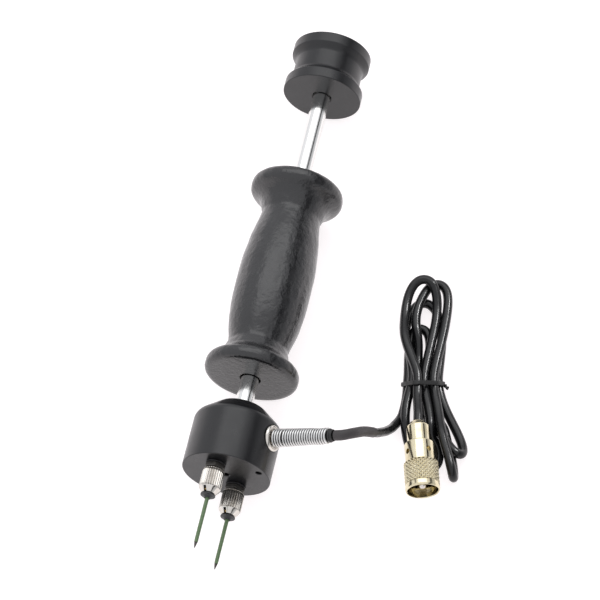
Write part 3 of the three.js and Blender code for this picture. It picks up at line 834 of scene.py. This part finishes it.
def plug():
    ring = [
        (7.9, 0.7), (8.3, 0), (8.65, 0, 0.1), (9.05, 0.7, 0.3), (9.05, 3.0, 0.2), (8.8, 3.15), (8.8, 3.4),
        (9.05, 3.55), (9.05, 15.2), (8.7, RING_LENGTH, 0.1), (8.2, RING_LENGTH), (8.2, 11.2), (7.9, 11.2),
    ]
    mesh = turned(ring, 442, ring=True, row=0.2, shape=diamond_knurl)
    ring_piece = show("knurled_ring", mesh, PLUG, "plug_plate", "plug_ring", "coupling_ring", sharp=40)
    shell = [
        (4.6, 6.2), (5.9, 6.2, 0.25), (5.9, 10), (7.6, 10, 0.15), (7.6, 11.4), (7.9, 11.6), (7.9, 26.3),
        (7.7, 26.7, 0.15), (7.4, 27, 0.15), (5.4, 27), (5.4, 14.6), (4.6, 14.6),
    ]
    holes = []
    for i in range(2):
        angle = SOLDER_HOLE_TURN + math.pi * i / 2
        x, z = 10 * math.cos(angle), 10 * math.sin(angle)
        holes.append(rod_between((-x, 21.2, -z), (x, 21.2, z), 1.45, 32))
    shell_piece = show("plug_shell", carved(turned(shell, 128, ring=True), holes), PLUG, "plug_plate",
                       "tool", "plug_body")
    tail = [
        (2.7, 16.1), (5.1, 16.1), (5.1, 27.2), (6.1, 27.3, 0.2), (6.1, 36.6, 0.5), (4.4, 38.6, 0.4),
        (3.9, 39.4, 0.2), (2.7, 39.4),
    ]
    tail_piece = show("reducer_sleeve", turned(tail, 96, ring=True), PLUG, "plug_plate", "tool",
                      "plug_reducer")
    disc = [(2.3, 7.2), (4.3, 7.2, 0.3), (4.3, 14.4), (2.3, 14.4)]
    disc_piece = show("insulator_disc", turned(disc, 64, ring=True), PLUG, "white_plastic", "tool",
                      "plug_insulator")
    contact = [(0, 2.0), (1.4, 2.0, 0.3), (2, 2.9, 0.4), (2, 15.6), (0, 15.6)]
    contact_piece = show("contact_pin", turned(contact, 48), PLUG, "nickel_plate", "tool", "plug_contact")
    return [ring_piece, shell_piece, tail_piece, disc_piece, contact_piece]


# ---------------------------------------------------------------- the lead

# The lead from the strain relief down to the surface: x, y from the base's underside, height.
LEAD_ROUTE = [
    (52.4, 20.1, 52.8), (56.2, 20.4, 54.2), (60.0, 22.5, 53.4), (62.9, 25.8, 49.6), (65.3, 29.6, 44.2),
    (67.5, 33.0, 38.2), (69.3, 36.3, 31.8), (71.0, 39.9, 25.2), (72.6, 43.8, 19.0), (74.3, 47.8, 13.2),
    (75.9, 51.9, 8.4), (76.9, 54.9, 5.9), (78.9, 60.5, 3.0), (80.0, 65.0, 2.6), (80.4, 70.5, 2.6),
]
# The last stretch, from the hank down to the plug, in the same terms.
TAIL_ROUTE = [
    (84.9, 77.5, 11.5), (85.9, 72.0, 11.9), (87.3, 66.2, 12.9), (88.5, 60.9, 14.0), (89.4, 55.8, 14.3),
]

# Where the strands pass under the tie: across, along, height. B is the bottom layer, T the top one,
# and P the strand that goes on to the plug.
CROSSINGS = {
    "B1": (-7.5, 0, 3.5), "B2": (-2.5, 0, 3.5), "B3": (2.5, 0, 3.5), "B4": (7.5, 0, 3.5),
    "T1": (-5, 0, 7.8), "T2": (0, 0, 7.8), "T3": (5, 0, 7.8), "P": (-2.5, 0, 12.1),
}
# The upper and lower loops of the hank, from crossing to crossing.
TURNS = [
    "B1",
    [(-7.5, 12, 2.5), (-7.4, 21, 2.5), (-7, 28, 2.5), (-5.4, 32, 2.5), (-1.6, 33.8, 2.5), (2.2, 32, 2.5),
     (3.8, 28, 2.5), (4, 21, 2.5), (3.1, 12, 2.5)],
    "B3",
    [(4.2, -12, 2.5), (8.5, -25, 2.5), (13.2, -36, 2.5), (15.6, -45, 2.5), (16.4, -52.3, 2.6),
     (16.4, -56.2, 4), (16, -58, 7.4), (15.3, -56.4, 10.8), (14.4, -52.5, 12.3), (13.2, -47, 12.4),
     (11.2, -40, 11.8), (9.4, -30, 10.3), (7.4, -18, 8.6), (5.6, -7, 7.6)],
    "T3",
    [(7.4, 12, 7.3), (10.4, 25, 7.5), (12.4, 37, 7.5), (13.4, 46, 7.6), (13.1, 53, 7.9), (10.6, 57.3, 8.1),
     (6.4, 58.2, 8.2), (2.8, 55.6, 8.2), (0, 50.5, 7.9), (-2.4, 45, 7.6), (-4, 39.5, 7.5), (-4.4, 33, 7.5),
     (-3.4, 25, 5.6), (-2.6, 16, 3), (-2.5, 8, 2.6)],
    "B2",
    [(-1.6, -9, 2.5), (1.4, -19, 2.6), (6.2, -27.5, 5.5), (10.4, -33.5, 7.6), (13.4, -39, 8.4),
     (16.2, -42.9, 8.6), (19.2, -44.2, 7.2), (21.2, -42.6, 4.8), (21.6, -38.6, 3), (20.4, -34, 2.5),
     (18, -28, 2.5), (14.6, -21, 2.5), (11.4, -14, 2.5), (9.2, -7, 2.7)],
    "B4",
    [(9, 12, 2.5), (10.2, 25, 2.5), (9.8, 36, 2.5), (7.4, 44, 2.5), (2.4, 49.4, 2.6), (-3.4, 47.8, 2.6),
     (-7.4, 40, 2.6), (-8.8, 32, 3.5), (-8.7, 26, 5.2), (-7.6, 19, 7.3), (-6.2, 11, 7.5)],
    "T1",
    [(-7.6, -9, 7.6), (-9.6, -20, 7.6), (-9.4, -28, 6.2), (-7.5, -36, 3.2), (-4, -44.5, 2.5),
     (-0.2, -49.6, 2.5), (4.6, -50.8, 2.5), (8.6, -47.6, 2.5), (9.4, -41, 3), (8, -35, 4.6), (6.4, -30, 7),
     (4.4, -23.5, 9.2), (2.4, -13, 8.6), (0.6, -5, 7.8)],
    "T2",
    [(2.4, 12, 7.3), (4.8, 24, 7.5), (6.8, 34, 7.6), (7.6, 43, 8.2), (7, 51, 10.8), (4.2, 57, 12.2),
     (-0.4, 58.8, 12.4), (-5.2, 56, 11), (-8.6, 48, 8.8), (-9.9, 37, 7.8), (-10.3, 28, 9.3),
     (-9.4, 20, 11.4), (-6.4, 11, 12.2)],
    "P",
]
CORD_STEP = 1.8
FROM_UNDERSIDE = millimetres(0, UNDERSIDE, 0)
# The plug's outside: distance along its axis and radius.
PLUG_OUTLINE = [(0, 9.1), (15.6, 9.1), (15.7, 7.9), (27, 7.9), (27.1, 6.1), (36.6, 6.1), (39.4, 3.9)]


def in_millimetres(matrix, points):
    """Points of an assembly, in millimetres of the frame."""
    return [matrix @ Vector(point) / MM for point in points]


def spaced(points, step):
    """A smooth line through the points, cut into even steps."""
    p = np.array([tuple(point) for point in points])
    padded = np.vstack([2 * p[0] - p[1], p, 2 * p[-1] - p[-2]])
    fine = []
    for a, b, c, d in zip(padded, padded[1:], padded[2:], padded[3:]):
        for t in np.arange(0, 1, 0.05):
            fine.append(0.5 * (2 * b + (c - a) * t + (2 * a - 5 * b + 4 * c - d) * t ** 2
                               + (3 * b - a - 3 * c + d) * t ** 3))
    fine = np.array(fine + [p[-1]])
    travel = np.concatenate([[0], np.cumsum(np.linalg.norm(np.diff(fine, axis=0), axis=1))])
    stations = np.linspace(0, travel[-1], round(travel[-1] / step) + 1)
    return np.stack([np.interp(stations, travel, fine[:, i]) for i in range(3)], axis=1)


def clear_of_plug(points, tail_count):
    """Moves strands out of the plug, whose axis lies over the hank."""
    into = np.array(PLUG.inverted())
    back = np.array(PLUG)
    local = points / PER_METRE @ into[:3, :3].T + into[:3, 3]
    along, radius = zip(*PLUG_OUTLINE)
    away = np.hypot(local[:, 0], local[:, 2])
    wanted = np.interp(local[:, 1], along, radius) + CABLE_RADIUS
    close = (local[:, 1] > -3) & (local[:, 1] < 39) & (away < wanted)
    close[-tail_count:] = False
    grow = np.where(close, wanted / np.maximum(away, 1e-6), 1)
    local[:, 0] *= grow
    local[:, 2] *= grow
    return (local @ back[:3, :3].T + back[:3, 3]) * PER_METRE


SMOOTHING = 0.2
PULL_HOME = 0.015
STRETCH_SHARE = 0.25
PUSH_SHARE = 0.7
CLEARANCE = 0.05

def settled(points, lead_count, tail_count, rounds):
    """The designed line after its strands have pushed each other apart and lain down."""
    home = points.copy()
    rest = np.linalg.norm(np.diff(points, axis=0), axis=1).mean()
    count = len(points)
    order = np.arange(count)
    neighbours = round(3.2 * CABLE_RADIUS * 2 / rest) // 2 + 1
    apart = np.abs(order[:, None] - order[None, :]) > neighbours
    free = np.ones(count)
    free[:lead_count] = 0
    free[-tail_count:] = 0
    free = free[:, None]
    into = np.array(HANK.inverted())
    for _ in range(rounds):
        step = np.zeros_like(points)
        middle = (points[:-2] + points[2:]) / 2 - points[1:-1]
        step[1:-1] += SMOOTHING * middle
        step += PULL_HOME * (home - points)
        points = points + step * free
        for _ in range(3):
            gap = points[1:] - points[:-1]
            length = np.linalg.norm(gap, axis=1, keepdims=True)
            fix = STRETCH_SHARE * gap * (length - rest) / length
            points[:-1] += fix * free[:-1]
            points[1:] -= fix * free[1:]
        between = points[:, None, :] - points[None, :, :]
        distance = np.linalg.norm(between, axis=2)
        overlap = np.where(apart, np.maximum(2 * CABLE_RADIUS + CLEARANCE - distance, 0), 0)
        push = between / np.maximum(distance, 1e-6)[:, :, None] * overlap[:, :, None]
        touching = np.maximum((overlap > 0).sum(axis=1, keepdims=True), 1)
        points = points + free * PUSH_SHARE * push.sum(axis=1) / touching
        points = np.where(free > 0, clear_of_plug(points, tail_count), points)
        along = (points / PER_METRE @ into[:3, :3].T + into[:3, 3])[:, 1]
        # The tie passes under the strands, so they lie a little higher there.
        floor = CABLE_RADIUS + 0.02 + np.exp(-(along / 5) ** 2)
        points[:, 2] = np.where(free[:, 0] > 0, np.maximum(points[:, 2], floor), points[:, 2])
    return points


def cord_line():
    hank = []
    for stretch in TURNS:
        hank += [CROSSINGS[stretch]] if isinstance(stretch, str) else stretch
    lead = in_millimetres(FROM_UNDERSIDE, LEAD_ROUTE)
    tail = in_millimetres(FROM_UNDERSIDE, TAIL_ROUTE) + in_millimetres(PLUG, [(0, 37.6, 0)])
    points = spaced(lead + in_millimetres(HANK, hank) + tail, CORD_STEP)
    lead_count = len(spaced(lead, CORD_STEP)) - 4
    tail_count = len(spaced(tail, CORD_STEP)) - 3
    return settled(points, lead_count, tail_count, 400)


def cord(line):
    curve = bpy.data.curves.new("coax", "CURVE")
    curve.dimensions = "3D"
    curve.bevel_depth = CABLE_RADIUS * MM
    curve.bevel_resolution = 7
    curve.resolution_u = 3
    curve.use_fill_caps = True
    spline = curve.splines.new("BEZIER")
    spline.bezier_points.add(len(line) - 1)
    for knot, point in zip(spline.bezier_points, line):
        knot.co = Vector(point) * MM
        knot.handle_left_type = "AUTO"
        knot.handle_right_type = "AUTO"
    curve.materials.append(LOOKS["cable_jacket"])
    piece = link("coax_lead", curve)
    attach(piece, "tool")
    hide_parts("cable_lead", "cable_hank", "cable_tail")
    return piece


def sleeve(line):
    """The heat-shrunk sleeve, closed down on the lead at its lower end."""
    length = 36.5
    travel = np.concatenate([[0], np.cumsum(np.linalg.norm(np.diff(line, axis=0), axis=1))])
    stations = [0, 0.3, *np.arange(1, length - 1, 0.9), length - 0.6, length - 0.2, length]
    points = [Vector([np.interp(s, travel, line[:, i]) for i in range(3)]) for s in stations]
    radii = [2.7 + 0.05 * noise.noise(Vector((s / 5, 0, 0))) for s in stations]
    radii[0] = 2.58
    radii[-3:] = [2.67, 2.62, 2.45]
    mesh = swept(points, round_sections(points, radii, 40))
    return show("heat_shrink", mesh, WORLD_MM, "sleeve_rubber", "tool", "lead_sleeve")


TIE_AT = -1.5
TIE_SLANT = 0.04
TIE_LEAN = -0.42
TIE_PIVOT = 5


def crossing_centres(line):
    """Where the strands pass under the tie: across and height, in the hank's frame."""
    into = HANK.inverted()
    local = [into @ (Vector(point) * MM) for point in line]
    centres = []
    for a, b in zip(local, local[1:]):
        before, after = a.y - TIE_AT, b.y - TIE_AT
        if (before < 0) != (after < 0) and abs(a.x) < 15:
            centres.append(a.lerp(b, before / (before - after)))
    return [Vector((c.x, c.z)) for c in centres]


def tie(line):
    """A flat coated wire drawn round the strands, with its ends twisted together at one side."""
    centres = crossing_centres(line)
    thick = 0.95
    reach = CABLE_RADIUS + thick / 2 + 0.05
    count = 120
    points = []
    sections = []
    for i in range(count):
        angle = 2 * math.pi * i / count
        out = Vector((math.cos(angle), math.sin(angle)))
        centre = max(centres, key=lambda c: c.dot(out))
        at = centre + reach * out
        points.append(Vector((at.x, TIE_AT + TIE_SLANT * at.x + TIE_LEAN * (at.y - TIE_PIVOT), at.y)))
        sections.append(flat_section(Vector((out.x, 0, out.y)), Vector((0, 1, 0)), thick, 2.5))
    vertices = [p + offset for p, section in zip(points, sections) for offset in section]
    size = len(sections[0])
    faces = []
    for row in range(count):
        a, b = row * size, (row + 1) % count * size
        faces += [[a + i, b + i, b + (i + 1) % size, a + (i + 1) % size] for i in range(size)]
    band = solid(vertices, faces)
    right = max(points, key=lambda p: p.x)
    steps = 26
    stub = [right + Vector((-0.5 + 2.4 * t, -3.4 * t, 1.5 * t)) for t in np.linspace(0, 1, steps)]
    twisted = []
    for i, (across, up) in enumerate(framed(stub)):
        turn = 2.2 * math.pi * i / steps
        wide = math.cos(turn) * across + math.sin(turn) * up
        thin = math.cos(turn) * up - math.sin(turn) * across
        twisted.append(flat_section(thin, wide, 1.1, 2.2))
    ends = swept(stub, twisted)
    merged = bmesh.new()
    merged.from_mesh(band)
    merged.from_mesh(ends)
    merged.to_mesh(band)
    merged.free()
    return show("twist_tie", band, HANK, "tie_plastic", "tool", "hank_tie", sharp=50)


def flat_section(thin, wide, thickness, width):
    """The ring of a flat strip with rounded edges."""
    offsets = []
    for side in (1, -1):
        for i in range(7):
            angle = math.pi * (i / 6 - 0.5)
            across = side * ((width - thickness) / 2 + thickness / 2 * math.cos(angle))
            offsets.append(across * wide + side * thickness / 2 * math.sin(angle) * thin)
    return offsets


# ---------------------------------------------------------------- the whole object

base()
rod()
anvil()
grip()
holder("left", 1)
holder("right", -1)
gland()
spring()
boot()
plug_pieces = plug()
line = cord_line()
lead = cord(line)
glint(lead)
on_lead = [sleeve(line), tie(line), *plug_pieces]
